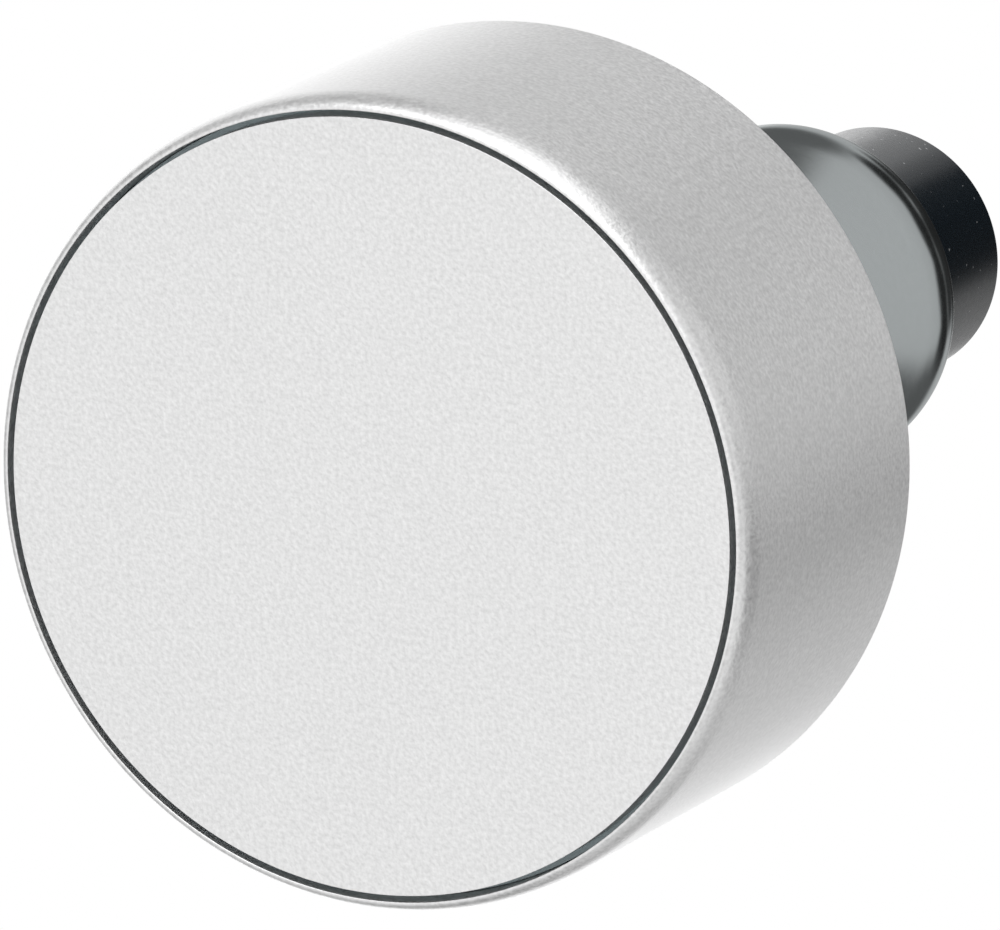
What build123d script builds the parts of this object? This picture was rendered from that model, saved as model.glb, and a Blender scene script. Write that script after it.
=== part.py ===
from build123d import *
from math import asin, cos, radians, sin, tan
import os

# Drum-shaped turning door knob.
#
# The knob's axis lies along Y. The origin is on the axis, in the plane where the collar meets the
# door's rose: the face points to -Y, and the guide bush and journal reach into the door along +Y.
# Everything but the guide bush turns together about Y. All sizes are in millimetres.

os.makedirs("parts", exist_ok=True)

# ---- Driving dimensions ----------------------------------------------------------------------

# drum shell
drum_radius = 25.0
drum_length = 23.0
projection = 61.0            # front face to rose plane
rim_wall = 0.8               # metal between the mouth and the drum's outside
rim_depth = 2.2              # how far back the rounded rim reaches
rim_land = 0.1               # flat crest beside the mouth
cavity_wall = 2.2
back_wall = 2.5
edge_break = 0.25

# face disc and its rubber ring
shadow_gap = 0.4             # radial gap between disc and mouth
disc_thickness = 2.0
disc_edge_round = 0.15
disc_spigot_radius = 10.5
disc_spigot_length = 4.5
ring_groove_depth = 1.2
ring_groove_width = 2.0

# core hub
core_flange = 3.0
core_boss_radius = 14.0
core_web = 4.0               # metal between the neck's spigot and the lock washer
rib_count = 6
rib_width = 2.5
rib_length = 9.0

# neck
neck_radius = 7.0
collar_radius = 11.0
lip_radius = 2.3
lip_setback = 1.5            # from the rose plane to the collar's widest circle
flare_slope = radians(45)    # slope of the cone between shank and lip
flare_round = 0.8            # inner round at the cone's foot
spigot_radius = 6.0
spigot_flats = 10.0          # across the two flats
spigot_length = 4.0

# guide bush, and what keeps it on the journal
bush_radius = 8.0
bush_wall = 0.95
bush_length = 12.5
bush_chamfer = 0.25
thrust_washer_thickness = 0.55
shim_thickness = 0.2
shim_overlap = 0.5           # how far the shim stands out past the journal
snap_wire = 0.8
snap_groove_depth = 0.4
snap_ring_arc = 330          # degrees of wire, the rest is the ring's gap
journal_tail = 0.6           # journal beyond the snap ring
journal_chamfer = 0.5

# square socket for the door's spindle
spindle_square = 8.0
socket_depth = 36.0
socket_lead_in = 0.6

# neck screw and lock washer
screw_radius = 4.0
screw_length = 18.0
screw_head_radius = 6.5
screw_head_height = 5.0
screw_head_round = 0.6
screw_point_chamfer = 0.7
screw_key = 5.0
screw_key_depth = 3.0
washer_thickness = 2.0
washer_arc = 350             # degrees of the split washer

# drive pins
pin_count = 2
pin_radius = 1.5
pin_length = 4.6
pin_circle = 10.0
pin_bite = 1.5               # depth of the pin's hole in the shell's back wall
pin_chamfer = 0.25

# set screw
set_screw_radius = 2.5
set_screw_key = 2.5
set_screw_place = 16.0       # in front of the rose plane
set_screw_recess = 0.4       # below the neck's surface
set_screw_chamfer = 0.3

# clearances
slip = 0.05                  # radial, pieces assembled by hand
running = 0.05               # radial, journal in bush
end_float = 0.05             # axial, bush between its washers
thread_gap = 0.05            # radial, threads are plain cylinders
ring_gap = 0.01              # radial, rubber ring in its groove and recess
hand_room = 0.2              # round heads, screw shanks and pin ends
rib_room = 0.5               # ribs to the shell's cavity
head_room = 0.6              # radial, round the screw's head
washer_gap = 0.1             # radial, washers on their shafts
spindle_gap = 0.1            # each side of the square spindle
recess_gap = 0.3             # radial, bush to the collar's rear recess

# ---- Places along the axis, front to back, and radii that follow -------------------------------

front = -projection
disc_back = front + disc_thickness
core_seat = disc_back + core_flange
drum_back = front + drum_length
cavity_back = drum_back - back_wall

mouth_radius = drum_radius - rim_wall
rim_width = rim_wall - rim_land
rim_centre = (mouth_radius + rim_land, front + rim_depth)
disc_radius = mouth_radius - shadow_gap
cavity_radius = drum_radius - cavity_wall

spigot_end = drum_back - spigot_length
spigot_socket_end = spigot_end - hand_room
washer_seat = spigot_socket_end - core_web
head_seat = washer_seat - washer_thickness
tapped_end = head_seat + screw_length + hand_room
head_bore_radius = screw_head_radius + head_room
washer_width = screw_head_radius - screw_radius - 2 * washer_gap

disc_recess_radius = disc_spigot_radius + hand_room
ring_groove_radius = disc_spigot_radius - ring_groove_depth
ring_groove_start = disc_back + (disc_spigot_length - ring_groove_width) / 2
ring_groove_end = ring_groove_start + ring_groove_width
ring_middle = ((ring_groove_radius + disc_recess_radius) / 2, (ring_groove_start + ring_groove_end) / 2)
ring_wire_radius = (disc_recess_radius - ring_groove_radius) / 2 - ring_gap

boss_back = cavity_back - hand_room
pin_end = cavity_back + pin_bite - slip
pin_start = pin_end - pin_length

journal_radius = bush_radius - bush_wall - running
washer_recess_radius = bush_radius + recess_gap
washer_recess_floor = -thrust_washer_thickness - end_float
shim_start = bush_length + end_float
snap_groove_start = shim_start + shim_thickness
snap_groove_end = snap_groove_start + snap_wire + 2 * end_float
snap_groove_radius = journal_radius - snap_groove_depth
journal_end = snap_groove_end + journal_tail
socket_side = spindle_square + 2 * spindle_gap
socket_end = journal_end - socket_depth
set_screw_length = neck_radius - set_screw_recess - socket_side / 2

# The neck's lip is an arc about lip_centre. A straight cone runs into it from a small round on the shank.
lip_centre_radius = collar_radius - lip_radius
lip_back_slope = asin(lip_setback / lip_radius)
lip_start = (
    lip_centre_radius + lip_radius * cos(flare_slope),
    -lip_setback - lip_radius * sin(flare_slope),
)
lip_widest = (collar_radius, -lip_setback)
lip_end = (lip_centre_radius + lip_radius * cos(lip_back_slope), 0)
cone_foot = lip_start[1] - (lip_start[0] - neck_radius) / tan(flare_slope)
flare_start = (neck_radius, cone_foot - flare_round * tan(flare_slope / 2))
flare_middle = (
    neck_radius + flare_round * (1 - cos(flare_slope / 2)),
    flare_start[1] + flare_round * sin(flare_slope / 2),
)
flare_end = (
    neck_radius + flare_round * (1 - cos(flare_slope)),
    flare_start[1] + flare_round * sin(flare_slope),
)


def axial_plane(place):
    """A sketch plane square to the knob's axis, with its normal towards the door."""
    return Plane(origin=(0, place, 0), x_dir=(1, 0, 0), z_dir=(0, 1, 0))


def underside_plane(height):
    """A sketch plane square to the set screw, with its normal pointing down and out of the neck."""
    return Plane(origin=(0, -set_screw_place, -height), x_dir=(1, 0, 0), z_dir=(0, 0, -1))


def save(piece, name):
    """Label a finished piece and write it as one STEP file."""
    piece.part.label = name
    export_step(piece.part, f"parts/{name}.step")


# ---- Drum shell: a turned cup with a rounded rim -----------------------------------------------

with BuildPart() as knob_shell:
    with BuildSketch(Plane.XY):
        with BuildLine():
            Line((mouth_radius, front), (mouth_radius + rim_land, front))
            EllipticalCenterArc(rim_centre, rim_width, rim_depth, start_angle=270, arc_size=90)
            Polyline(
                (drum_radius, front + rim_depth),
                (drum_radius, drum_back - edge_break),
                (drum_radius - edge_break, drum_back),
                (0, drum_back),
                (0, cavity_back),
                (cavity_radius, cavity_back),
                (cavity_radius, core_seat),
                (mouth_radius, core_seat),
                (mouth_radius, front),
            )
        make_face()
    revolve(axis=Axis.Y)
    with BuildSketch(axial_plane(cavity_back)):
        Circle(spigot_radius + slip)
        Rectangle(spigot_flats + 2 * slip, 2 * drum_radius, mode=Mode.INTERSECT)
    extrude(amount=back_wall, mode=Mode.SUBTRACT)
    with BuildSketch(axial_plane(cavity_back)):
        with PolarLocations(pin_circle, pin_count):
            Circle(pin_radius + slip)
    extrude(amount=pin_bite, mode=Mode.SUBTRACT)
save(knob_shell, "knob_shell")

# ---- Face disc with a hollow spigot, and the rubber ring that holds it -------------------------

with BuildPart() as face_disc:
    with BuildSketch(Plane.XY):
        with BuildLine():
            Polyline(
                (0, front),
                (disc_radius, front),
                (disc_radius, disc_back),
                (disc_spigot_radius, disc_back),
                (disc_spigot_radius, ring_groove_start),
                (ring_groove_radius, ring_groove_start),
                (ring_groove_radius, ring_groove_end),
                (disc_spigot_radius, ring_groove_end),
                (disc_spigot_radius, disc_back + disc_spigot_length),
                (head_bore_radius, disc_back + disc_spigot_length),
                (head_bore_radius, disc_back),
                (0, disc_back),
                (0, front),
            )
        make_face()
    revolve(axis=Axis.Y)
    fillet(face_disc.edges().filter_by(GeomType.CIRCLE).group_by(Axis.Y)[0], disc_edge_round)
save(face_disc, "face_disc")

with BuildPart() as disc_ring:
    with BuildSketch(Plane.XY):
        with Locations(ring_middle):
            Circle(ring_wire_radius)
    revolve(axis=Axis.Y)
save(disc_ring, "disc_ring")

# ---- Core hub: flange, boss and ribs, bored for the disc, the screw, the spigot and the pins ----

with BuildPart() as core_hub:
    with BuildSketch(axial_plane(disc_back)):
        Circle(mouth_radius - slip)
    extrude(amount=core_flange)
    with BuildSketch(axial_plane(core_seat)):
        Circle(core_boss_radius)
    extrude(amount=boss_back - core_seat)
    with BuildSketch(axial_plane(core_seat)):
        with PolarLocations((cavity_radius - rib_room) / 2, rib_count):
            Rectangle(cavity_radius - rib_room, rib_width)
    extrude(amount=rib_length)
    with BuildSketch(axial_plane(disc_back)):
        Circle(disc_recess_radius)
    extrude(amount=disc_spigot_length + hand_room, mode=Mode.SUBTRACT)
    with BuildSketch(axial_plane(disc_back)):
        Circle(head_bore_radius)
    extrude(amount=washer_seat - disc_back, mode=Mode.SUBTRACT)
    with BuildSketch(axial_plane(washer_seat)):
        Circle(screw_radius + hand_room)
    extrude(amount=core_web, mode=Mode.SUBTRACT)
    with BuildSketch(axial_plane(spigot_socket_end)):
        Circle(spigot_radius + slip)
        Rectangle(spigot_flats + 2 * slip, 2 * drum_radius, mode=Mode.INTERSECT)
    extrude(amount=boss_back - spigot_socket_end, mode=Mode.SUBTRACT)
    with BuildSketch(axial_plane(pin_start - hand_room)):
        with PolarLocations(pin_circle, pin_count):
            Circle(pin_radius + slip)
    extrude(amount=boss_back - pin_start + hand_room, mode=Mode.SUBTRACT)
save(core_hub, "core_hub")

with BuildPart() as drive_pins:
    with BuildSketch(axial_plane(pin_start)):
        with PolarLocations(pin_circle, pin_count):
            Circle(pin_radius)
    extrude(amount=pin_length)
    chamfer(drive_pins.edges().filter_by(GeomType.CIRCLE), pin_chamfer)
save(drive_pins, "drive_pins")

# ---- Neck screw and its split washer -------------------------------------------------------------

with BuildPart() as neck_screw:
    with BuildSketch(axial_plane(head_seat - screw_head_height)):
        Circle(screw_head_radius)
    extrude(amount=screw_head_height)
    fillet(neck_screw.edges().filter_by(GeomType.CIRCLE).group_by(Axis.Y)[0], screw_head_round)
    with BuildSketch(axial_plane(head_seat)):
        Circle(screw_radius - thread_gap)
    extrude(amount=screw_length)
    chamfer(neck_screw.edges().filter_by(GeomType.CIRCLE).group_by(Axis.Y)[-1], screw_point_chamfer)
    with BuildSketch(axial_plane(head_seat - screw_head_height)):
        RegularPolygon(screw_key / 2, 6, major_radius=False)
    extrude(amount=screw_key_depth, mode=Mode.SUBTRACT)
save(neck_screw, "neck_screw")

with BuildPart() as lock_washer:
    with BuildSketch(Plane.XY):
        with Locations((screw_radius + washer_gap, head_seat)):
            Rectangle(washer_width, washer_thickness, align=(Align.MIN, Align.MIN))
    revolve(axis=Axis.Y, revolution_arc=washer_arc)
save(lock_washer, "lock_washer")

# ---- Neck: spigot, shank, flare, lipped collar and journal --------------------------------------

with BuildPart() as neck:
    with BuildSketch(Plane.XY):
        with BuildLine():
            Polyline(
                (0, spigot_end),
                (spigot_radius, spigot_end),
                (spigot_radius, drum_back),
                (neck_radius, drum_back),
                flare_start,
            )
            ThreePointArc(flare_start, flare_middle, flare_end)
            Line(flare_end, lip_start)
            ThreePointArc(lip_start, lip_widest, lip_end)
            Polyline(
                lip_end,
                (washer_recess_radius, 0),
                (washer_recess_radius, washer_recess_floor),
                (journal_radius, washer_recess_floor),
                (journal_radius, snap_groove_start),
                (snap_groove_radius, snap_groove_start),
                (snap_groove_radius, snap_groove_end),
                (journal_radius, snap_groove_end),
                (journal_radius, journal_end - journal_chamfer),
                (journal_radius - journal_chamfer, journal_end),
                (0, journal_end),
                (0, spigot_end),
            )
        make_face()
    revolve(axis=Axis.Y)
    with BuildSketch(axial_plane(spigot_end)):
        Circle(neck_radius)
        Rectangle(spigot_flats, 2 * neck_radius, mode=Mode.SUBTRACT)
    extrude(amount=spigot_length, mode=Mode.SUBTRACT)
    with BuildSketch(axial_plane(spigot_end)):
        Circle(screw_radius)
    extrude(amount=tapped_end - spigot_end, mode=Mode.SUBTRACT)
    with BuildSketch(axial_plane(socket_end)):
        Rectangle(socket_side, socket_side)
    extrude(amount=socket_depth, mode=Mode.SUBTRACT)
    with BuildSketch(axial_plane(journal_end)) as lead_in_mouth:
        Rectangle(socket_side + socket_lead_in, socket_side + socket_lead_in)
    with BuildSketch(axial_plane(journal_end - socket_lead_in)) as lead_in_floor:
        Rectangle(socket_side, socket_side)
    loft(sections=[lead_in_mouth.sketch, lead_in_floor.sketch], mode=Mode.SUBTRACT)
    with BuildSketch(underside_plane(0)):
        Circle(set_screw_radius)
    extrude(amount=neck_radius, mode=Mode.SUBTRACT)
save(neck, "neck")

with BuildPart() as set_screw:
    with BuildSketch(underside_plane(socket_side / 2)):
        Circle(set_screw_radius - thread_gap)
    extrude(amount=set_screw_length)
    chamfer(set_screw.edges().filter_by(GeomType.CIRCLE), set_screw_chamfer)
    with BuildSketch(underside_plane(socket_side / 2 + set_screw_length / 2)):
        RegularPolygon(set_screw_key / 2, 6, major_radius=False)
    extrude(amount=set_screw_length / 2, mode=Mode.SUBTRACT)
save(set_screw, "set_screw")

# ---- Guide bush, its two washers and the snap ring ------------------------------------------------

with BuildPart() as guide_bush:
    with BuildSketch(axial_plane(0)):
        Circle(bush_radius)
        Circle(journal_radius + running, mode=Mode.SUBTRACT)
    extrude(amount=bush_length)
    rear_edges = guide_bush.edges().filter_by(GeomType.CIRCLE).group_by(Axis.Y)[-1]
    chamfer(rear_edges.sort_by(SortBy.RADIUS)[-1], bush_chamfer)
save(guide_bush, "guide_bush")

with BuildPart() as thrust_washer:
    with BuildSketch(axial_plane(washer_recess_floor)):
        Circle(washer_recess_radius - washer_gap)
        Circle(journal_radius + washer_gap, mode=Mode.SUBTRACT)
    extrude(amount=thrust_washer_thickness)
save(thrust_washer, "thrust_washer")

with BuildPart() as shim_washer:
    with BuildSketch(axial_plane(shim_start)):
        Circle(journal_radius + shim_overlap)
        Circle(journal_radius + washer_gap, mode=Mode.SUBTRACT)
    extrude(amount=shim_thickness)
save(shim_washer, "shim_washer")

with BuildPart() as snap_ring:
    with BuildSketch(Plane.XY):
        with Locations((snap_groove_radius + snap_wire / 2, (snap_groove_start + snap_groove_end) / 2)):
            Circle(snap_wire / 2)
    revolve(axis=Axis.Y, revolution_arc=snap_ring_arc)
save(snap_ring, "snap_ring")
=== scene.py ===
"""A drum-shaped turning door knob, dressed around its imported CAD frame.

The knob's axis lies along Y: the face looks to -Y, and the guide bush and journal reach into the
door along +Y, behind the rose plane at y = 0. The set screw is underneath, at -Z. Metres throughout.
"""

from __future__ import annotations

import logging
import math
from dataclasses import dataclass, field
from enum import Enum

import bmesh
import bpy
from mathutils import Matrix, Vector


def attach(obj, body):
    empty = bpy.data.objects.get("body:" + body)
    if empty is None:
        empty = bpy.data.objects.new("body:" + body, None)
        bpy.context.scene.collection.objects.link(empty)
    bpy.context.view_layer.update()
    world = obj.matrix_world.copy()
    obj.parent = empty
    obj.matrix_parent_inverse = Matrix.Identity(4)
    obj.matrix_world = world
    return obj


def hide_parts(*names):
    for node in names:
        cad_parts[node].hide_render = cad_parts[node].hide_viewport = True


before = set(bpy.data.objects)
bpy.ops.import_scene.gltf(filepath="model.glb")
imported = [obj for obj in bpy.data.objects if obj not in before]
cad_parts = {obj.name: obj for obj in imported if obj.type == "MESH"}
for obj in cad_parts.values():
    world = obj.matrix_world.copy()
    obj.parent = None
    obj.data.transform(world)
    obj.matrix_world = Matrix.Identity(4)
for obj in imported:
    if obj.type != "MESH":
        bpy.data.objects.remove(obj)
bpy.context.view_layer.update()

LOG = logging.getLogger("door_knob")

MM = 0.001
FULL_TURN = 2 * math.pi
TURNED_STEPS = 240           # faces round a turned piece; 4 and 6 divide it, so square and hex keys are exact
SMALL_STEPS = 96             # faces round the small hidden pieces
CREASE = math.radians(28)    # sharper edges than this stay crisp
WELD = 1e-7                  # points nearer than this are one
ROUND_STEPS = 5              # facets in the round of an edge
ARC_STEPS = 14               # facets in a drawn arc
Point2 = tuple[float, float]


class Body(Enum):
    """The two rigid bodies of the knob."""

    KNOB = "knob"
    BUSH = "bush"


class Slot(Enum):
    """The record's material slots."""

    SATIN_DRUM = "satin_drum"
    CORE_METAL = "core_metal"
    NECK_METAL = "neck_metal"
    BUSH_PLASTIC = "bush_plastic"
    SCREW_STEEL = "screw_steel"
    SPRING_STEEL = "spring_steel"
    RING_RUBBER = "ring_rubber"


class Lit(Enum):
    """The pieces that a lamp lights."""

    DRUM = "lit_drum"
    BUSH = "lit_bush"
    BOTH = "lit_both"


class Ring(Enum):
    """The outline that a point of a profile sweeps round the axis."""

    ROUND = 0
    SQUARE = 4
    HEXAGON = 6


# ---- Node benches --------------------------------------------------------------------------------


@dataclass
class NodeBench:
    """Lays out nodes in a tree and joins them up.

    Args:
        tree: The node tree to fill.
    """

    tree: bpy.types.NodeTree
    count: int = 0

    def add(self, kind: str, **settings: object) -> bpy.types.Node:
        """Adds a node.

        Args:
            kind: The node's type name.
            settings: Properties to set on it.

        Returns:
            The new node.
        """
        node = self.tree.nodes.new(kind)
        node.location = (180.0 * (self.count % 12), -240.0 * (self.count // 12))
        self.count += 1
        for name, value in settings.items():
            setattr(node, name, value)
        return node

    def join(self, source: object, target: object) -> None:
        """Feeds a target socket from a source socket, or sets it to a plain value."""
        if isinstance(source, bpy.types.NodeSocket):
            self.tree.links.new(source, target)
        else:
            target.default_value = source

    def math(self, operation: str, *values: object) -> bpy.types.NodeSocket:
        """Adds a Math node.

        Args:
            operation: The Math node's operation.
            values: Sockets or numbers for its inputs, in order.

        Returns:
            The result socket.
        """
        node = self.add("ShaderNodeMath", operation=operation)
        for index, value in enumerate(values):
            self.join(value, node.inputs[index])
        return node.outputs[0]


# ---- Turned pieces -------------------------------------------------------------------------------


@dataclass(frozen=True)
class Corner:
    """One corner of a turned piece's profile.

    Args:
        radius: Distance from the axis, or half the width across flats of a square or hexagon.
        place: Distance along the axis.
        edge: Radius of the round on this corner, nothing for a crisp one.
        ring: The outline it sweeps.
        flat_to: Distance from the axis of two flats that cut the round, nothing for none.
    """

    radius: float
    place: float
    edge: float = 0.0
    ring: Ring = Ring.ROUND
    flat_to: float = 0.0

    def moved(self, radius: float, place: float) -> Corner:
        """A crisp corner of the same ring at another place."""
        return Corner(radius, place, 0.0, self.ring, self.flat_to)


def elliptic_arc(centre: Point2, width: float, depth: float, start: float, end: float) -> list[Corner]:
    """Points along an arc of a circle or an upright ellipse.

    Args:
        centre: Radius and place of the arc's centre.
        width: Half its size across the axis.
        depth: Half its size along the axis.
        start: First angle, in degrees from the outward direction towards the door.
        end: Last angle.

    Returns:
        The arc's corners, first and last included.
    """
    corners = []
    for step in range(ARC_STEPS + 1):
        angle = math.radians(start + (end - start) * step / ARC_STEPS)
        corners.append(Corner(centre[0] + width * math.cos(angle), centre[1] + depth * math.sin(angle)))
    return corners


class Profile:
    """The outline of a turned piece, anticlockwise with the radius to the right and the door upwards."""

    def __init__(self, corners: list[Corner], closed: bool = False) -> None:
        """Works out the rounded outline.

        Args:
            corners: The outline's corners in order.
            closed: Whether it is a loop clear of the axis.
        """
        self.closed = closed
        self.points = self._supported(self._rounded(corners))
        if closed:
            self.points.append(self.points[0])

    def _neighbours(self, points: list[Corner], index: int) -> tuple[Corner | None, Corner | None]:
        """The corners before and after one, or None past an open end."""
        before = points[index - 1] if index > 0 or self.closed else None
        after = points[(index + 1) % len(points)] if index + 1 < len(points) or self.closed else None
        return before, after

    def _rounded(self, corners: list[Corner]) -> list[Corner]:
        """The outline with each rounded corner turned into an arc."""
        points = []
        for index, corner in enumerate(corners):
            before, after = self._neighbours(corners, index)
            if corner.edge <= 0 or before is None or after is None:
                points.append(corner)
                continue
            here = Vector((corner.radius, corner.place))
            back = (Vector((before.radius, before.place)) - here).normalized()
            ahead = (Vector((after.radius, after.place)) - here).normalized()
            half = back.angle(ahead) / 2
            reach = corner.edge / math.tan(half)
            centre = here + (back + ahead).normalized() * (corner.edge / math.sin(half))
            start = here + back * reach - centre
            sweep = start.angle_signed(here + ahead * reach - centre)
            for step in range(ROUND_STEPS + 1):
                turned = start.copy()
                turned.rotate(Matrix.Rotation(-sweep * step / ROUND_STEPS, 2))
                spot = centre + turned
                points.append(corner.moved(spot.x, spot.y))
        return points

    def _supported(self, points: list[Corner]) -> list[Corner]:
        """The outline with a point close beside each smooth bend, so that long flats shade flat."""
        result = []
        for index, point in enumerate(points):
            result.append(point)
            _, after = self._neighbours(points, index)
            if after is None:
                continue
            before, _ = self._neighbours(points, index)
            _, beyond = self._neighbours(points, (index + 1) % len(points))
            here = Vector((point.radius, point.place))
            there = Vector((after.radius, after.place))
            length = (there - here).length
            for anchor, other, far in ((here, there, before), (there, here, beyond)):
                if far is None:
                    continue
                step = (Vector((far.radius, far.place)) - anchor).length
                bend = math.pi - (Vector((far.radius, far.place)) - anchor).angle(other - anchor)
                if bend < CREASE and 0 < step < length / 4 and point.ring == after.ring:
                    spot = anchor + (other - anchor) * (step / length)
                    result.append(after.moved(spot.x, spot.y))
        return result

    def mesh(self, name: str) -> bpy.types.Mesh:
        """The outline as a line of points with the ring each one sweeps.

        Args:
            name: A name for the mesh.

        Returns:
            A mesh of points in the XY plane, x for the radius and y for the place.
        """
        mesh = bpy.data.meshes.new(name)
        spots = [(point.radius, point.place, 0.0) for point in self.points]
        mesh.from_pydata(spots, [(i, i + 1) for i in range(len(spots) - 1)], [])
        for title, values in (
            ("ring_sides", [float(point.ring.value) for point in self.points]),
            ("flat_to", [point.flat_to for point in self.points]),
        ):
            layer = mesh.attributes.new(title, "FLOAT", "POINT")
            layer.data.foreach_set("value", values)
        return mesh


class LatheTree:
    """A Geometry Nodes tree that sweeps a profile round the Y axis, as a lathe does."""

    def __init__(self) -> None:
        """Builds the tree once."""
        self.tree = bpy.data.node_groups.new("lathe", "GeometryNodeTree")
        face = self.tree.interface
        face.new_socket("Profile", in_out="INPUT", socket_type="NodeSocketGeometry")
        self.steps_id = face.new_socket("Steps", in_out="INPUT", socket_type="NodeSocketInt").identifier
        self.sweep_id = face.new_socket("Sweep", in_out="INPUT", socket_type="NodeSocketFloat").identifier
        self.crease_id = face.new_socket("Crease", in_out="INPUT", socket_type="NodeSocketFloat").identifier
        self.finish_id = face.new_socket("Finish", in_out="INPUT", socket_type="NodeSocketMaterial").identifier
        face.new_socket("Piece", in_out="OUTPUT", socket_type="NodeSocketGeometry")
        self._fill()

    def _sampled(self, bench: NodeBench, profile: object, index: object, title: str) -> object:
        """A named number of the profile at an index."""
        named = bench.add("GeometryNodeInputNamedAttribute", data_type="FLOAT")
        named.inputs["Name"].default_value = title
        sample = bench.add("GeometryNodeSampleIndex", data_type="FLOAT", domain="POINT")
        bench.join(profile, sample.inputs["Geometry"])
        bench.join(named.outputs["Attribute"], sample.inputs["Value"])
        bench.join(index, sample.inputs["Index"])
        return sample.outputs["Value"]

    def _fill(self) -> None:
        """Lays out the nodes: a grid of steps by points, each moved to its ring."""
        bench = NodeBench(self.tree)
        given = bench.add("NodeGroupInput")
        profile = given.outputs["Profile"]
        size = bench.add("GeometryNodeAttributeDomainSize", component="MESH")
        bench.join(profile, size.inputs["Geometry"])
        points = size.outputs["Point Count"]
        grid = bench.add("GeometryNodeMeshGrid")
        bench.join(bench.math("ADD", given.outputs["Steps"], 1.0), grid.inputs["Vertices X"])
        bench.join(points, grid.inputs["Vertices Y"])
        index = bench.add("GeometryNodeInputIndex").outputs["Index"]
        row = bench.math("FLOOR", bench.math("DIVIDE", bench.math("ADD", index, 0.5), points))
        column = bench.math("SUBTRACT", index, bench.math("MULTIPLY", row, points))
        turn = bench.math("MULTIPLY", bench.math("DIVIDE", row, given.outputs["Steps"]), given.outputs["Sweep"])

        place = bench.add("GeometryNodeSampleIndex", data_type="FLOAT_VECTOR", domain="POINT")
        bench.join(profile, place.inputs["Geometry"])
        bench.join(bench.add("GeometryNodeInputPosition").outputs["Position"], place.inputs["Value"])
        bench.join(column, place.inputs["Index"])
        split = bench.add("ShaderNodeSeparateXYZ")
        bench.join(place.outputs["Value"], split.inputs[0])
        radius = split.outputs["X"]
        sides = self._sampled(bench, profile, column, "ring_sides")
        flat_to = self._sampled(bench, profile, column, "flat_to")

        sector = bench.math("DIVIDE", FULL_TURN, bench.math("MAXIMUM", sides, 1.0))
        nearest = bench.math("MULTIPLY", bench.math("ROUND", bench.math("DIVIDE", turn, sector)), sector)
        slant = bench.math("COSINE", bench.math("SUBTRACT", turn, nearest))
        is_key = bench.math("GREATER_THAN", sides, 2.5)
        divisor = bench.math("ADD", bench.math("MULTIPLY", slant, is_key), bench.math("SUBTRACT", 1.0, is_key))
        reach = bench.math("DIVIDE", radius, divisor)
        across = bench.math("MULTIPLY", reach, bench.math("COSINE", turn))
        up = bench.math("MULTIPLY", reach, bench.math("SINE", turn))
        no_flat = bench.math("LESS_THAN", flat_to, WELD)
        limit = bench.math("ADD", flat_to, no_flat)
        across = bench.math("MAXIMUM", bench.math("MINIMUM", across, limit), bench.math("MULTIPLY", limit, -1.0))

        spot = bench.add("ShaderNodeCombineXYZ")
        bench.join(across, spot.inputs["X"])
        bench.join(split.outputs["Y"], spot.inputs["Y"])
        bench.join(up, spot.inputs["Z"])
        moved = bench.add("GeometryNodeSetPosition")
        bench.join(grid.outputs["Mesh"], moved.inputs["Geometry"])
        bench.join(spot.outputs[0], moved.inputs["Position"])
        welded = bench.add("GeometryNodeMergeByDistance")
        bench.join(moved.outputs["Geometry"], welded.inputs["Geometry"])
        welded.inputs["Distance"].default_value = WELD
        flipped = bench.add("GeometryNodeFlipFaces")
        bench.join(welded.outputs["Geometry"], flipped.inputs["Mesh"])
        smooth = bench.add("GeometryNodeSetShadeSmooth", domain="FACE")
        bench.join(flipped.outputs["Mesh"], smooth.inputs["Geometry"])
        angle = bench.add("GeometryNodeInputMeshEdgeAngle")
        crisp = bench.add("GeometryNodeSetShadeSmooth", domain="EDGE")
        bench.join(smooth.outputs["Geometry"], crisp.inputs["Geometry"])
        sharp = bench.math("GREATER_THAN", angle.outputs["Unsigned Angle"], given.outputs["Crease"])
        bench.join(sharp, crisp.inputs["Selection"])
        crisp.inputs["Shade Smooth"].default_value = False
        real = bench.add("GeometryNodeRealizeInstances")
        bench.join(crisp.outputs["Geometry"], real.inputs["Geometry"])
        dressed = bench.add("GeometryNodeSetMaterial")
        bench.join(real.outputs["Geometry"], dressed.inputs["Geometry"])
        bench.join(given.outputs["Finish"], dressed.inputs["Material"])
        done = bench.add("NodeGroupOutput")
        bench.join(dressed.outputs["Geometry"], done.inputs["Piece"])

    def turn(
        self,
        name: str,
        profile: Profile,
        finish: bpy.types.Material,
        steps: int = TURNED_STEPS,
        sweep: float = FULL_TURN,
    ) -> bpy.types.Object:
        """Turns a profile into a plain mesh piece.

        Args:
            name: The piece's name.
            profile: Its outline.
            finish: Its material.
            steps: Faces round the axis.
            sweep: How far round it goes, in radians.

        Returns:
            The piece, at the origin.
        """
        blank = bpy.data.objects.new(name + "_profile", profile.mesh(name + "_profile"))
        bpy.context.scene.collection.objects.link(blank)
        lathe = blank.modifiers.new("lathe", "NODES")
        lathe.node_group = self.tree
        lathe[self.steps_id] = steps
        lathe[self.sweep_id] = sweep
        lathe[self.crease_id] = CREASE
        lathe[self.finish_id] = finish
        piece = freeze(blank, name)
        if sweep < FULL_TURN:
            cap_ends(piece)
        return piece


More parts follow.
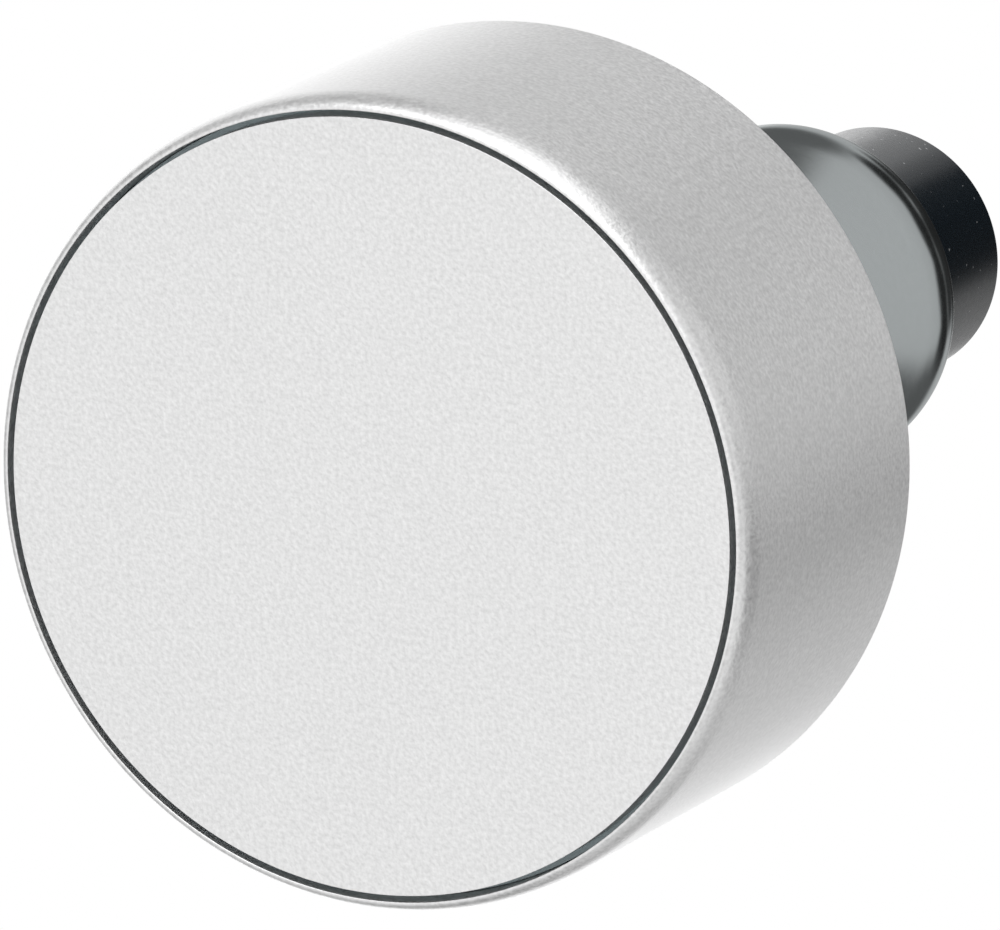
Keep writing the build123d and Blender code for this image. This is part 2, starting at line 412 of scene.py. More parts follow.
def freeze(blank: bpy.types.Object, name: str) -> bpy.types.Object:
    """Turns an object with live modifiers into a plain mesh object, and removes the first one.

    Args:
        blank: The object with its modifiers.
        name: The new object's name.

    Returns:
        The plain piece, linked to the scene.
    """
    graph = bpy.context.evaluated_depsgraph_get()
    mesh = bpy.data.meshes.new_from_object(blank.evaluated_get(graph), depsgraph=graph)
    mesh.name = name
    for layer in list(mesh.attributes):
        if layer.name in ("ring_sides", "flat_to"):
            mesh.attributes.remove(layer)
    piece = bpy.data.objects.new(name, mesh)
    bpy.context.scene.collection.objects.link(piece)
    bpy.data.objects.remove(blank)
    return piece


def cap_ends(piece: bpy.types.Object) -> None:
    """Closes the two cut ends of a ring that doesn't go all the way round."""
    work = bmesh.new()
    work.from_mesh(piece.data)
    bmesh.ops.holes_fill(work, edges=[edge for edge in work.edges if edge.is_boundary], sides=0)
    bmesh.ops.recalc_face_normals(work, faces=work.faces)
    work.to_mesh(piece.data)
    work.free()


def volume(piece: bpy.types.Object) -> float:
    """The space a piece encloses, in cubic millimetres, below zero if it is inside out."""
    work = bmesh.new()
    work.from_mesh(piece.data)
    result = work.calc_volume(signed=True)
    work.free()
    return result / MM**3


def cut(piece: bpy.types.Object, cutter: bpy.types.Object, name: str) -> bpy.types.Object:
    """Cuts one closed piece out of another.

    Args:
        piece: The piece to cut.
        cutter: The closed shape to take away; it is removed afterwards.
        name: The finished piece's name.

    Returns:
        The cut piece as a plain mesh.
    """
    knife = piece.modifiers.new("cut", "BOOLEAN")
    knife.operation = "DIFFERENCE"
    knife.solver = "EXACT"
    knife.object = cutter
    result = freeze(piece, name)
    bpy.data.objects.remove(cutter)
    return result


def crease_by_angle(piece: bpy.types.Object, angle: float = CREASE) -> None:
    """Shades a mesh smooth but for the edges sharper than an angle."""
    work = bmesh.new()
    work.from_mesh(piece.data)
    for face in work.faces:
        face.smooth = True
    for edge in work.edges:
        edge.smooth = len(edge.link_faces) == 2 and edge.calc_face_angle(math.pi) <= angle
    work.to_mesh(piece.data)
    work.free()


# ---- Finishes ------------------------------------------------------------------------------------


@dataclass(frozen=True)
class MetalFinish:
    """A bare or anodised metal with a fine grain.

    Args:
        slot: The material slot it belongs to.
        colour: The metal's own colour.
        roughness: Middle of the roughness.
        roughness_spread: How much the grain changes the roughness.
        grain: Size of the grain, in metres.
        grain_depth: Height of the grain's bump, in metres.
        mottle: How much the grain changes the colour.
        cloud: Size of the soft patches, in metres.
        cloud_depth: How much the patches change the colour.
        stretch: How the grain is drawn out along X, Y and Z; below one is longer.
        specks: How many dark specks show, from nothing to one.
    """

    slot: Slot
    colour: tuple[float, float, float]
    roughness: float
    roughness_spread: float = 0.06
    grain: float = 0.25 * MM
    grain_depth: float = 0.004 * MM
    mottle: float = 0.05
    cloud: float = 9 * MM
    cloud_depth: float = 0.02
    stretch: tuple[float, float, float] = (1.0, 1.0, 1.0)
    specks: float = 0.0

    def make(self) -> bpy.types.Material:
        """Builds the material's nodes.

        Returns:
            The finished material.
        """
        material = bpy.data.materials.new(self.slot.value)
        material.use_nodes = True
        material.node_tree.nodes.clear()
        bench = NodeBench(material.node_tree)
        place = bench.add("ShaderNodeTexCoord").outputs["Object"]
        drawn = bench.add("ShaderNodeVectorMath", operation="MULTIPLY")
        bench.join(place, drawn.inputs[0])
        drawn.inputs[1].default_value = self.stretch
        grain = bench.add("ShaderNodeTexNoise")
        bench.join(drawn.outputs[0], grain.inputs["Vector"])
        grain.inputs["Scale"].default_value = 1 / self.grain
        grain.inputs["Detail"].default_value = 1.5
        cloud = bench.add("ShaderNodeTexNoise")
        bench.join(place, cloud.inputs["Vector"])
        cloud.inputs["Scale"].default_value = 1 / self.cloud
        cloud.inputs["Detail"].default_value = 2.0

        shade = bench.math("ADD", 1.0, bench.math("MULTIPLY", bench.math("SUBTRACT", grain.outputs[0], 0.5), self.mottle))
        patch = bench.math("MULTIPLY", bench.math("SUBTRACT", cloud.outputs[0], 0.5), self.cloud_depth)
        shade = bench.math("ADD", shade, patch)
        if self.specks > 0:
            dots = bench.add("ShaderNodeTexNoise")
            bench.join(place, dots.inputs["Vector"])
            dots.inputs["Scale"].default_value = 1 / (0.45 * MM)
            dots.inputs["Detail"].default_value = 0.0
            dark = bench.add("ShaderNodeMapRange", interpolation_type="SMOOTHSTEP")
            bench.join(dots.outputs[0], dark.inputs["Value"])
            dark.inputs["From Min"].default_value = 0.78
            dark.inputs["From Max"].default_value = 0.84
            dark.inputs["To Max"].default_value = -self.specks
            shade = bench.math("ADD", shade, dark.outputs["Result"])
        tint = bench.add("ShaderNodeVectorMath", operation="SCALE")
        tint.inputs[0].default_value = self.colour
        bench.join(shade, tint.inputs["Scale"])
        rough = bench.add("ShaderNodeMapRange")
        bench.join(grain.outputs[0], rough.inputs["Value"])
        rough.inputs["To Min"].default_value = self.roughness - self.roughness_spread
        rough.inputs["To Max"].default_value = self.roughness + self.roughness_spread
        bump = bench.add("ShaderNodeBump")
        bump.inputs["Strength"].default_value = 1.0
        bump.inputs["Distance"].default_value = self.grain_depth
        bench.join(grain.outputs[0], bump.inputs["Height"])
        shader = bench.add("ShaderNodeBsdfPrincipled")
        shader.inputs["Metallic"].default_value = 1.0
        bench.join(tint.outputs[0], shader.inputs["Base Color"])
        bench.join(rough.outputs["Result"], shader.inputs["Roughness"])
        bench.join(bump.outputs["Normal"], shader.inputs["Normal"])
        out = bench.add("ShaderNodeOutputMaterial")
        bench.join(shader.outputs[0], out.inputs["Surface"])
        return material


@dataclass(frozen=True)
class MouldedFinish:
    """A moulded plastic or rubber with a fine spark-eroded skin and a little dust.

    Args:
        slot: The material slot it belongs to.
        colour: The plastic's own colour.
        roughness: Middle of the roughness.
        roughness_spread: How much the skin changes the roughness.
        skin: Size of the skin's texture, in metres.
        skin_depth: Height of its bump, in metres.
        dust: How pale the specks of dust are, from nothing to one.
        gloss: Strength of the shader's plain reflection.
    """

    slot: Slot
    colour: tuple[float, float, float]
    roughness: float
    roughness_spread: float = 0.08
    skin: float = 0.3 * MM
    skin_depth: float = 0.006 * MM
    dust: float = 0.0
    gloss: float = 0.5

    def make(self) -> bpy.types.Material:
        """Builds the material's nodes.

        Returns:
            The finished material.
        """
        material = bpy.data.materials.new(self.slot.value)
        material.use_nodes = True
        material.node_tree.nodes.clear()
        bench = NodeBench(material.node_tree)
        place = bench.add("ShaderNodeTexCoord").outputs["Object"]
        skin = bench.add("ShaderNodeTexNoise")
        bench.join(place, skin.inputs["Vector"])
        skin.inputs["Scale"].default_value = 1 / self.skin
        skin.inputs["Detail"].default_value = 2.0
        tone = bench.add("ShaderNodeMapRange")
        bench.join(skin.outputs[0], tone.inputs["Value"])
        tone.inputs["To Min"].default_value = 0.8
        tone.inputs["To Max"].default_value = 1.2
        tint = bench.add("ShaderNodeVectorMath", operation="SCALE")
        tint.inputs[0].default_value = self.colour
        bench.join(tone.outputs["Result"], tint.inputs["Scale"])
        colour = tint.outputs[0]
        if self.dust > 0:
            dots = bench.add("ShaderNodeTexNoise")
            bench.join(place, dots.inputs["Vector"])
            dots.inputs["Scale"].default_value = 1 / (0.3 * MM)
            dots.inputs["Detail"].default_value = 0.0
            pale = bench.add("ShaderNodeMapRange", interpolation_type="SMOOTHSTEP")
            bench.join(dots.outputs[0], pale.inputs["Value"])
            pale.inputs["From Min"].default_value = 0.80
            pale.inputs["From Max"].default_value = 0.85
            pale.inputs["To Max"].default_value = self.dust
            mixed = bench.add("ShaderNodeVectorMath", operation="ADD")
            bench.join(colour, mixed.inputs[0])
            bench.join(pale.outputs["Result"], mixed.inputs[1])
            colour = mixed.outputs[0]
        rough = bench.add("ShaderNodeMapRange")
        bench.join(skin.outputs[0], rough.inputs["Value"])
        rough.inputs["To Min"].default_value = self.roughness - self.roughness_spread
        rough.inputs["To Max"].default_value = self.roughness + self.roughness_spread
        bump = bench.add("ShaderNodeBump")
        bump.inputs["Strength"].default_value = 1.0
        bump.inputs["Distance"].default_value = self.skin_depth
        bench.join(skin.outputs[0], bump.inputs["Height"])
        shader = bench.add("ShaderNodeBsdfPrincipled")
        shader.inputs["Specular IOR Level"].default_value = self.gloss
        bench.join(colour, shader.inputs["Base Color"])
        bench.join(rough.outputs["Result"], shader.inputs["Roughness"])
        bench.join(bump.outputs["Normal"], shader.inputs["Normal"])
        out = bench.add("ShaderNodeOutputMaterial")
        bench.join(shader.outputs[0], out.inputs["Surface"])
        return material


FINISHES: tuple[MetalFinish | MouldedFinish, ...] = (
    MetalFinish(Slot.SATIN_DRUM, (0.85, 0.85, 0.85), roughness=0.42, roughness_spread=0.10, grain=0.28 * MM,
                grain_depth=0.028 * MM, mottle=0.42),
    # Core metal: partly the hidden core's own colour, partly painted shade: its darker teal tint and patchy mottle
    # give the shaded groove between face disc and shell a teal, blotchy tone.
    MetalFinish(Slot.CORE_METAL, (0.46, 0.54, 0.56), roughness=0.55, grain=0.5 * MM, grain_depth=0.03 * MM,
                mottle=0.2, cloud=4 * MM, cloud_depth=0.15),
    MetalFinish(Slot.NECK_METAL, (0.60, 0.64, 0.645), roughness=0.19, roughness_spread=0.03, grain=0.18 * MM,
                grain_depth=0.0015 * MM, mottle=0.05, stretch=(0.3, 1.0, 0.3)),
    MouldedFinish(Slot.BUSH_PLASTIC, (0.006, 0.010, 0.014), roughness=0.26, skin_depth=0.003 * MM, dust=0.25),
    MetalFinish(Slot.SCREW_STEEL, (0.10, 0.10, 0.105), roughness=0.38, grain=0.12 * MM, grain_depth=0.004 * MM,
                mottle=0.3, cloud=2 * MM, cloud_depth=0.3),
    MetalFinish(Slot.SPRING_STEEL, (0.46, 0.47, 0.48), roughness=0.24, grain=0.10 * MM, grain_depth=0.002 * MM,
                mottle=0.12, stretch=(1.0, 0.4, 1.0), cloud=3 * MM, cloud_depth=0.08),
    MouldedFinish(Slot.RING_RUBBER, (0.02, 0.02, 0.021), roughness=0.6, skin=0.15 * MM, skin_depth=0.008 * MM),
)


class Workshop:
    """Holds the lathe and the finishes, and fixes finished pieces to the frame."""

    def __init__(self) -> None:
        """Makes the tools and every finish."""
        self.lathe = LatheTree()
        self.finishes = {finish.slot: finish.make() for finish in FINISHES}
        self.pieces: list[bpy.types.Object] = []

    def turn(
        self,
        name: str,
        profile: Profile,
        slot: Slot,
        steps: int = TURNED_STEPS,
        sweep: float = FULL_TURN,
    ) -> bpy.types.Object:
        """Turns a piece in the finish of a slot."""
        return self.lathe.turn(name, profile, self.finishes[slot], steps, sweep)

    def fit(self, piece: bpy.types.Object, body: Body, node: str) -> None:
        """Puts a finished piece in the place of its CAD node, and logs it.

        Args:
            piece: The finished piece.
            body: The body it moves with.
            node: The CAD node it stands for.
        """
        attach(piece, body.value)
        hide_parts(node)
        self.pieces.append(piece)
        LOG.info("%s: %d faces, %.1f mm3", piece.name, len(piece.data.polygons), volume(piece))

    def dress(self, node: str, slot: Slot) -> None:
        """Gives a CAD node that stays its own finish."""
        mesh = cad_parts[node].data
        mesh.materials.clear()
        mesh.materials.append(self.finishes[slot])
        LOG.info("%s: kept from the frame", node)


# ---- The knob's sub-assemblies --------------------------------------------------------------------


@dataclass
class Drum:
    """The drum shell, its face disc and the rubber ring behind it."""

    radius: float = 25 * MM
    front: float = -61 * MM
    back: float = -38 * MM
    mouth: float = 24.2 * MM
    rim_width: float = 0.7 * MM
    rim_depth: float = 2.2 * MM
    back_round: float = 0.22 * MM
    cavity: float = 22.8 * MM
    cavity_back: float = -40.5 * MM
    core_seat: float = -56 * MM
    neck_hole: float = 6.05 * MM
    neck_hole_flat: float = 5.05 * MM
    disc_radius: float = 23.8 * MM
    disc_back: float = -59 * MM
    disc_round: float = 0.03 * MM
    spigot: float = 10.5 * MM
    spigot_bore: float = 7.1 * MM
    spigot_end: float = -54.5 * MM
    groove: float = 9.3 * MM
    groove_start: float = -57.75 * MM
    groove_end: float = -55.75 * MM
    ring_middle: Point2 = (10.0 * MM, -56.75 * MM)
    ring_wire: float = 0.69 * MM

    def shell_profile(self) -> Profile:
        """The shell: mouth, rounded rim, drum, back wall and cavity."""
        rim_centre = (self.radius - self.rim_width, self.front + self.rim_depth)
        rim = elliptic_arc(rim_centre, self.rim_width, self.rim_depth, -90, 0)
        hole = {"flat_to": self.neck_hole_flat}
        return Profile(
            [Corner(self.mouth, self.front, 0.05 * MM)]
            + rim
            + [
                Corner(self.radius, self.back, self.back_round),
                Corner(self.neck_hole, self.back, **hole),
                Corner(self.neck_hole, self.cavity_back, **hole),
                Corner(self.cavity, self.cavity_back, 0.3 * MM),
                Corner(self.cavity, self.core_seat),
                Corner(self.mouth, self.core_seat),
            ],
            closed=True,
        )

    def disc_profile(self) -> Profile:
        """The face disc with its hollow, grooved spigot."""
        return Profile(
            [
                Corner(0, self.front),
                Corner(self.disc_radius, self.front, self.disc_round),
                Corner(self.disc_radius, self.disc_back, 0.1 * MM),
                Corner(self.spigot, self.disc_back),
                Corner(self.spigot, self.groove_start),
                Corner(self.groove, self.groove_start),
                Corner(self.groove, self.groove_end),
                Corner(self.spigot, self.groove_end),
                Corner(self.spigot, self.spigot_end, 0.2 * MM),
                Corner(self.spigot_bore, self.spigot_end),
                Corner(self.spigot_bore, self.disc_back),
                Corner(0, self.disc_back),
            ]
        )

    def ring_profile(self) -> Profile:
        """The round section of the rubber ring."""
        wire = elliptic_arc(self.ring_middle, self.ring_wire, self.ring_wire, -180, 180)
        return Profile(wire[:-1], closed=True)

    def build(self, shop: Workshop) -> None:
        """Makes the three pieces and fits them."""
        shell = shop.turn("drum_shell", self.shell_profile(), Slot.SATIN_DRUM)
        shop.fit(shell, Body.KNOB, "knob_shell")
        disc = shop.turn("face_plate", self.disc_profile(), Slot.SATIN_DRUM)
        shop.fit(disc, Body.KNOB, "face_disc")
        ring = shop.turn("rubber_ring", self.ring_profile(), Slot.RING_RUBBER, SMALL_STEPS)
        shop.fit(ring, Body.KNOB, "disc_ring")


@dataclass
class Neck:
    """The flared neck with its lipped collar and journal, and the set screw in its underside."""

    radius: float = 7 * MM
    drum_back: float = -38 * MM
    spigot: float = 6 * MM
    spigot_flat: float = 5 * MM
    spigot_end: float = -42 * MM
    tapped: float = 4 * MM
    tapped_end: float = -30 * MM
    cone_slope: float = 45.0
    cone_round: float = 0.8 * MM
    lip_radius: float = 2.3 * MM
    lip_centre: Point2 = (8.7 * MM, -1.5 * MM)
    recess: float = 8.3 * MM
    recess_floor: float = -0.6 * MM
    journal: float = 7 * MM
    groove: float = 6.6 * MM
    groove_start: float = 12.75 * MM
    groove_end: float = 13.65 * MM
    journal_end: float = 14.25 * MM
    journal_chamfer: float = 0.5 * MM
    socket: float = 4.1 * MM
    socket_end: float = -21.75 * MM
    lead_in: float = 0.6 * MM
    screw_place: float = -16 * MM
    screw_hole: float = 2.5 * MM
    screw_radius: float = 2.45 * MM
    screw_top: float = -4.1 * MM
    screw_bottom: float = -6.6 * MM
    screw_chamfer: float = 0.3 * MM
    screw_key: float = 1.25 * MM
    screw_key_depth: float = 1.25 * MM

    def profile(self) -> Profile:
        """The neck from its tapped hole round the outside to the square socket."""
        slope = math.radians(self.cone_slope)
        lip_start = (
            self.lip_centre[0] + self.lip_radius * math.cos(slope),
            self.lip_centre[1] - self.lip_radius * math.sin(slope),
        )
        foot = lip_start[1] - (lip_start[0] - self.radius) / math.tan(slope)
        foot_centre = (self.radius + self.cone_round, foot - self.cone_round * math.tan(slope / 2))
        flare = elliptic_arc(foot_centre, self.cone_round, self.cone_round, 180, 180 - self.cone_slope)
        lip_end = math.degrees(math.asin(-self.lip_centre[1] / self.lip_radius))
        lip = elliptic_arc(self.lip_centre, self.lip_radius, self.lip_radius, -self.cone_slope, lip_end)
        flat = {"flat_to": self.spigot_flat}
        square = {"ring": Ring.SQUARE}
        return Profile(
            [
                Corner(0, self.tapped_end),
                Corner(self.tapped, self.tapped_end),
                Corner(self.tapped, self.spigot_end),
                Corner(self.spigot, self.spigot_end, **flat),
                Corner(self.spigot, self.drum_back, **flat),
                Corner(self.radius, self.drum_back),
            ]
            + flare
            + lip
            + [
                Corner(self.recess, 0),
                Corner(self.recess, self.recess_floor),
                Corner(self.journal, self.recess_floor),
                Corner(self.journal, self.groove_start),
                Corner(self.groove, self.groove_start),
                Corner(self.groove, self.groove_end),
                Corner(self.journal, self.groove_end),
                Corner(self.journal, self.journal_end - self.journal_chamfer, 0.08 * MM),
                Corner(self.journal - self.journal_chamfer, self.journal_end, 0.08 * MM),
                Corner(self.socket + self.lead_in / 2, self.journal_end, **square),
                Corner(self.socket, self.journal_end - self.lead_in, **square),
                Corner(self.socket, self.socket_end, **square),
                Corner(0, self.socket_end),
            ]
        )

    def screw_profile(self) -> Profile:
        """The set screw, drawn upright along Y before it is laid in its hole."""
        length = self.screw_top - self.screw_bottom
        rim = self.screw_radius - self.screw_chamfer
        return Profile(
            [
                Corner(0, 0),
                Corner(rim, 0, 0.05 * MM),
                Corner(self.screw_radius, self.screw_chamfer, 0.05 * MM),
                Corner(self.screw_radius, length - self.screw_chamfer, 0.05 * MM),
                Corner(rim, length, 0.05 * MM),
                Corner(self.screw_key, length, ring=Ring.HEXAGON),
                Corner(self.screw_key, length - self.screw_key_depth, ring=Ring.HEXAGON),
                Corner(0, length - self.screw_key_depth),
            ]
        )

    def lay_down(self, piece: bpy.types.Object, top: float) -> None:
        """Turns an upright piece so that it points down, and moves it under the neck."""
        piece.data.transform(Matrix.Rotation(math.radians(-90), 4, "X"))
        piece.data.transform(Matrix.Translation((0, self.screw_place, top)))

    def build(self, shop: Workshop) -> None:
        """Makes the neck and its set screw and fits them."""
        blank = shop.turn("neck_blank", self.profile(), Slot.NECK_METAL)
        drill = Profile(
            [
                Corner(0, 0),
                Corner(self.screw_hole, 0),
                Corner(self.screw_hole, self.radius + self.screw_top + 1 * MM),
                Corner(0, self.radius + self.screw_top + 1 * MM),
            ]
        )
        cutter = shop.turn("drill", drill, Slot.NECK_METAL, SMALL_STEPS)
        self.lay_down(cutter, self.screw_top + 1 * MM)
        neck = cut(blank, cutter, "flared_neck")
        crease_by_angle(neck)
        shop.fit(neck, Body.KNOB, "neck")
        screw = shop.turn("grub_screw", self.screw_profile(), Slot.SCREW_STEEL, SMALL_STEPS)
        self.lay_down(screw, self.screw_top)
        shop.fit(screw, Body.KNOB, "set_screw")


@dataclass
class Bush:
    """The moulded guide bush, its two washers and the snap ring that keeps it on."""

    radius: float = 8 * MM
    bore: float = 7.05 * MM
    length: float = 12.5 * MM
    chamfer: float = 0.25 * MM
    slip_outer: float = 8.2 * MM
    slip_inner: float = 7.1 * MM
    slip_start: float = -0.6 * MM
    slip_end: float = -0.05 * MM
    shim_outer: float = 7.5 * MM
    shim_inner: float = 7.1 * MM
    shim_start: float = 12.55 * MM
    shim_end: float = 12.75 * MM
    wire_middle: Point2 = (7.0 * MM, 13.2 * MM)
    wire: float = 0.4 * MM
    wire_sweep: float = 330.0

    def bush_profile(self) -> Profile:
        """The bush: a plain tube with a chamfered rear edge."""
        return Profile(
            [
                Corner(self.bore, 0, 0.1 * MM),
                Corner(self.radius, 0, 0.15 * MM),
                Corner(self.radius, self.length - self.chamfer, 0.08 * MM),
                Corner(self.radius - self.chamfer, self.length, 0.08 * MM),
                Corner(self.bore, self.length, 0.1 * MM),
            ],
            closed=True,
        )

    def washer_profile(self, inner: float, outer: float, start: float, end: float, edge: float) -> Profile:
        """A flat washer with broken edges."""
        return Profile(
            [Corner(inner, start, edge), Corner(outer, start, edge), Corner(outer, end, edge), Corner(inner, end, edge)],
            closed=True,
        )

    def build(self, shop: Workshop) -> None:
        """Makes the four pieces and fits them."""
        bush = shop.turn("moulded_bush", self.bush_profile(), Slot.BUSH_PLASTIC)
        shop.fit(bush, Body.BUSH, "guide_bush")
        slip = self.washer_profile(self.slip_inner, self.slip_outer, self.slip_start, self.slip_end, 0.08 * MM)
        washer = shop.turn("slip_washer", slip, Slot.BUSH_PLASTIC)
        shop.fit(washer, Body.KNOB, "thrust_washer")
        thin = self.washer_profile(self.shim_inner, self.shim_outer, self.shim_start, self.shim_end, 0.04 * MM)
        shim = shop.turn("thin_shim", thin, Slot.SPRING_STEEL)
        shop.fit(shim, Body.KNOB, "shim_washer")
        wire = Profile(elliptic_arc(self.wire_middle, self.wire, self.wire, -180, 180)[:-1], closed=True)
        ring = shop.turn("wire_ring", wire, Slot.SPRING_STEEL, TURNED_STEPS, math.radians(self.wire_sweep))
        crease_by_angle(ring, math.radians(40))
        shop.fit(ring, Body.KNOB, "snap_ring")


@dataclass
class Inside:
    """What the drum hides: the core, its pins, the neck screw and the split washer."""

    kept: tuple[tuple[str, Slot], ...] = (
        ("core_hub", Slot.CORE_METAL),
        ("drive_pins", Slot.SPRING_STEEL),
        ("neck_screw", Slot.SCREW_STEEL),
        ("lock_washer", Slot.SPRING_STEEL),
    )

    def build(self, shop: Workshop) -> None:
        """Dresses the CAD nodes that stay."""
        for node, slot in self.kept:
            shop.dress(node, slot)


# ---- Studio --------------------------------------------------------------------------------------


@dataclass(frozen=True)
class Glow:
    """A soft patch of the studio's light tent, or a dark flag where its level is low.

    Args:
        towards: Direction from the knob, as X, Y and Z.
        inner: Half-angle of the patch's even middle, in degrees.
        outer: Half-angle where it has faded out.
        level: How bright it is.
    """

    towards: tuple[float, float, float]
    inner: float
    outer: float
    level: float


@dataclass(frozen=True)
class Lamp:
    """A wide soft lamp, flagged off from the neck.

    Args:
        name: What it is called.
        towards: Direction from the knob, as X, Y and Z.
        spread: Full angle it fills, in degrees.
        level: How bright its face is.
        lit: The pieces it lights.
    """

    name: str
    towards: tuple[float, float, float]
    spread: float
    level: float
    lit: Lit


@dataclass
class Studio:
    """A light tent all round, soft lamps, a pale floor and the camera."""

    tent: float = 0.52
    glows: tuple[Glow, ...] = (
        Glow((0.0, -1.0, 0.0), 62, 84, 0.55),
        Glow((0.0, -1.0, 0.0), 28, 60, 1.03),
        Glow((0.30, -0.78, -0.55), 10, 28, 0.55),
        Glow((0.73, 0.51, -0.45), 12, 24, 0.02),
        Glow((0.88, 0.46, -0.01), 12, 24, 0.02),
        Glow((0.77, 0.45, 0.45), 12, 24, 0.02),
        Glow((0.43, 0.46, 0.77), 12, 24, 0.02),
        Glow((0.45, 0.87, 0.20), 10, 22, 0.02),
        Glow((0.05, 0.99, 0.00), 12, 24, 0.02),
        Glow((0.20, 0.86, 0.44), 9, 18, 0.03),
        Glow((0.50, 0.86, -0.08), 9, 18, 0.03),
        Glow((-0.50, 0.15, 0.86), 26, 46, 0.14),
        Glow((0.34, 0.10, -0.94), 26, 46, 0.12),
        Glow((-0.75, 0.65, 0.05), 16, 28, 0.90),
        Glow((-0.55, 0.72, -0.42), 16, 26, 1.10),
    )
    lamps: tuple[Lamp, ...] = (
        Lamp("overhead_front", (0.05, -0.45, 0.89), 60, 1.8, Lit.BOTH),
        Lamp("overhead_back", (0.15, 0.35, 0.92), 44, 1.2, Lit.BOTH),
        Lamp("overhead_left", (-0.60, 0.10, 0.78), 50, 0.40, Lit.DRUM),
        Lamp("behind_left", (-0.62, 0.78, -0.05), 50, 0.55, Lit.BOTH),
        Lamp("right_fill", (0.87, 0.30, 0.30), 64, 0.45, Lit.DRUM),
        Lamp("behind_right", (0.42, 0.87, 0.25), 58, 0.42, Lit.DRUM),
        Lamp("low_fill", (0.55, 0.00, -0.80), 80, 0.52, Lit.DRUM),
        Lamp("behind_low", (-0.38, 0.85, -0.36), 36, 0.85, Lit.DRUM),
        Lamp("behind_middle", (0.30, 0.87, -0.36), 44, 0.06, Lit.DRUM),
        Lamp("bush_top", (-0.28, 0.83, 0.48), 50, 0.45, Lit.BUSH),
        Lamp("bush_low", (0.17, 0.87, -0.46), 40, 0.12, Lit.BUSH),
    )
    floor_height: float = -0.12
    floor_size: float = 60.0
    azimuth: float = 26.0
    elevation: float = 14.2
    lens: float = 600.0
    distance: float = 0.992
    aim: tuple[float, float, float] = (0.0068, -0.0570, 0.0025)

    def build_tent(self) -> None:
        """Lays the soft patches over the tent's even light."""
        world = bpy.data.worlds.new("light_tent")
        bpy.context.scene.world = world
        world.use_nodes = True
        world.node_tree.nodes.clear()
        bench = NodeBench(world.node_tree)
        direction = bench.add("ShaderNodeTexCoord").outputs["Generated"]
        level: object = self.tent
        for glow in self.glows:
            along = bench.add("ShaderNodeVectorMath", operation="DOT_PRODUCT")
            bench.join(direction, along.inputs[0])
            along.inputs[1].default_value = Vector(glow.towards).normalized()
            share = bench.add("ShaderNodeMapRange", interpolation_type="SMOOTHSTEP")
            bench.join(along.outputs["Value"], share.inputs["Value"])
            share.inputs["From Min"].default_value = math.cos(math.radians(glow.outer))
            share.inputs["From Max"].default_value = math.cos(math.radians(glow.inner))
            kept = bench.math("MULTIPLY", level, bench.math("SUBTRACT", 1.0, share.outputs["Result"]))
            level = bench.math("ADD", kept, bench.math("MULTIPLY", share.outputs["Result"], glow.level))
        light = bench.add("ShaderNodeBackground")
        light.inputs["Color"].default_value = (1.0, 1.0, 1.0, 1.0)
        bench.join(level, light.inputs["Strength"])
        out = bench.add("ShaderNodeOutputWorld")
        bench.join(light.outputs[0], out.inputs["Surface"])

    def build_lamps(self, drum: list[bpy.types.Object], bush: list[bpy.types.Object]) -> None:
        """Hangs the lamps, flagged so that each lights only its own pieces.

        Args:
            drum: The drum's pieces.
            bush: The bush and the small pieces round it.
        """
        groups = {}
        for lit, pieces in ((Lit.DRUM, drum), (Lit.BUSH, bush), (Lit.BOTH, drum + bush)):
            groups[lit] = bpy.data.collections.new(lit.value)
            for piece in pieces:
                groups[lit].objects.link(piece)
        for lamp in self.lamps:
            data = bpy.data.lights.new(lamp.name, "SUN")
            half = math.radians(lamp.spread) / 2
            data.angle = 2 * half
            data.energy = lamp.level * math.pi * math.sin(half) ** 2
            light = bpy.data.objects.new(lamp.name, data)
            light.rotation_euler = Vector(lamp.towards).to_track_quat("Z", "Y").to_euler()
            light.light_linking.receiver_collection = groups[lamp.lit]
            bpy.context.scene.collection.objects.link(light)

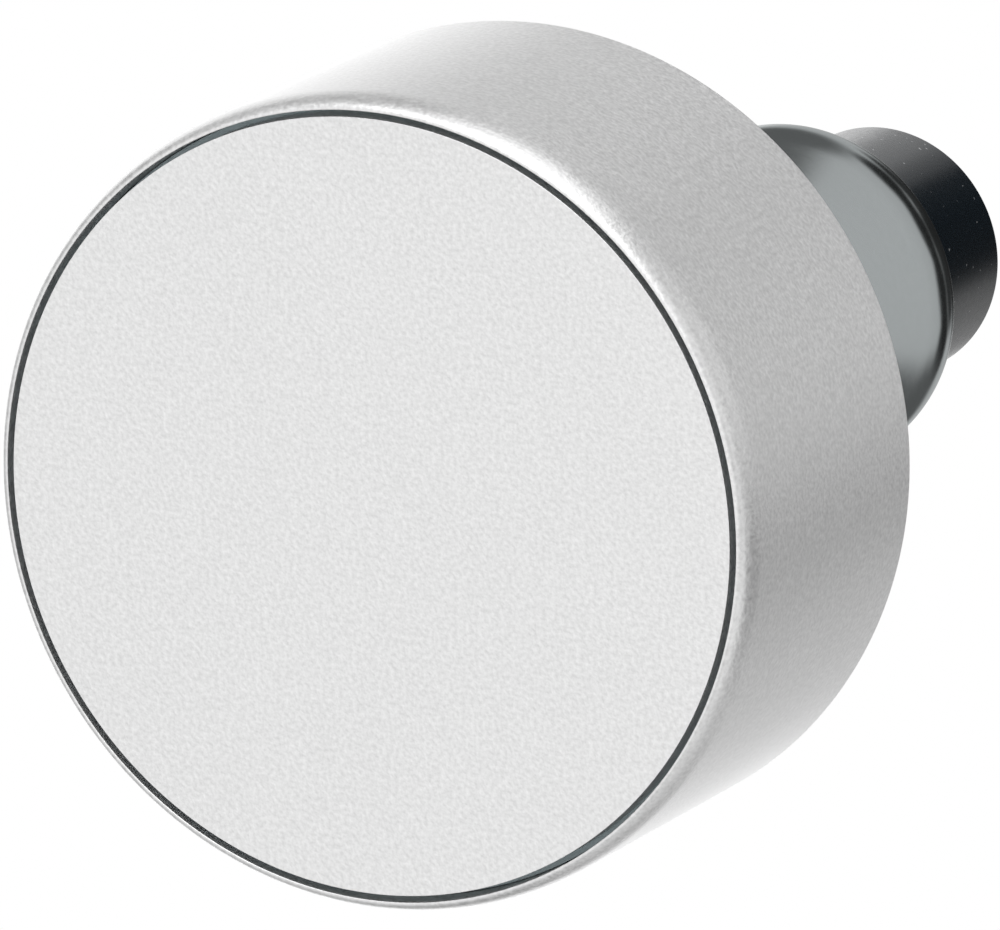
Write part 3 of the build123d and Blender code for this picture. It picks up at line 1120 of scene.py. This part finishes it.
    def build_floor(self) -> None:
        """Lays a wide pale floor with upright sides that only the camera sees, so that it doesn't colour the metal."""
        half = self.floor_size / 2
        mesh = bpy.data.meshes.new("floor")
        heights = (self.floor_height, self.floor_height + half)
        around = ((-half, -half), (half, -half), (half, half), (-half, half))
        spots = [(x, y, height) for height in heights for x, y in around]
        sides = [(i, (i + 1) % 4, (i + 1) % 4 + 4, i + 4) for i in range(4)]
        mesh.from_pydata(spots, [], [(0, 1, 2, 3)] + sides)
        material = bpy.data.materials.new("pale_floor")
        material.use_nodes = True
        material.node_tree.nodes.clear()
        bench = NodeBench(material.node_tree)
        paint = bench.add("ShaderNodeEmission")
        paint.inputs["Color"].default_value = (1.0, 1.0, 1.0, 1.0)
        paint.inputs["Strength"].default_value = 1.0
        out = bench.add("ShaderNodeOutputMaterial")
        bench.join(paint.outputs[0], out.inputs["Surface"])
        mesh.materials.append(material)
        floor = bpy.data.objects.new("floor", mesh)
        bpy.context.scene.collection.objects.link(floor)
        floor.visible_diffuse = False
        floor.visible_glossy = False
        floor.visible_transmission = False
        floor.visible_shadow = False

    def build_camera(self) -> None:
        """Puts the camera in front, to the right and a little above."""
        turn = math.radians(self.azimuth)
        rise = math.radians(self.elevation)
        right = Vector((math.cos(turn), math.sin(turn), 0))
        up = Vector((-math.sin(turn) * math.sin(rise), math.cos(turn) * math.sin(rise), math.cos(rise)))
        back = right.cross(up)
        data = bpy.data.cameras.new("camera")
        data.lens = self.lens
        data.sensor_width = 36.0
        data.clip_start = 0.05
        data.clip_end = 200.0
        camera = bpy.data.objects.new("camera", data)
        spot = Vector(self.aim) + back * self.distance
        axes = Matrix((right, up, back)).transposed().to_4x4()
        camera.matrix_world = Matrix.Translation(spot) @ axes
        bpy.context.scene.collection.objects.link(camera)
        bpy.context.scene.camera = camera

    def build(self, drum: list[bpy.types.Object], bush: list[bpy.types.Object]) -> None:
        """Sets up the tent, the lamps, the floor, the camera and a plain tone curve.

        Args:
            drum: The drum's pieces.
            bush: The bush and the small pieces round it.
        """
        self.build_tent()
        self.build_lamps(drum, bush)
        self.build_floor()
        self.build_camera()
        bpy.context.scene.view_settings.view_transform = "Standard"


def main() -> None:
    """Builds the knob and its studio."""
    logging.basicConfig(level=logging.INFO, format="%(name)s: %(message)s")
    shop = Workshop()
    for assembly in (Drum(), Neck(), Bush(), Inside()):
        assembly.build(shop)
    drum = [piece for piece in shop.pieces if piece.name in ("drum_shell", "face_plate")]
    bush = [piece for piece in shop.pieces if piece.name not in ("drum_shell", "face_plate", "flared_neck")]
    Studio().build(drum, bush)


if __name__ == "__main__":
    main()
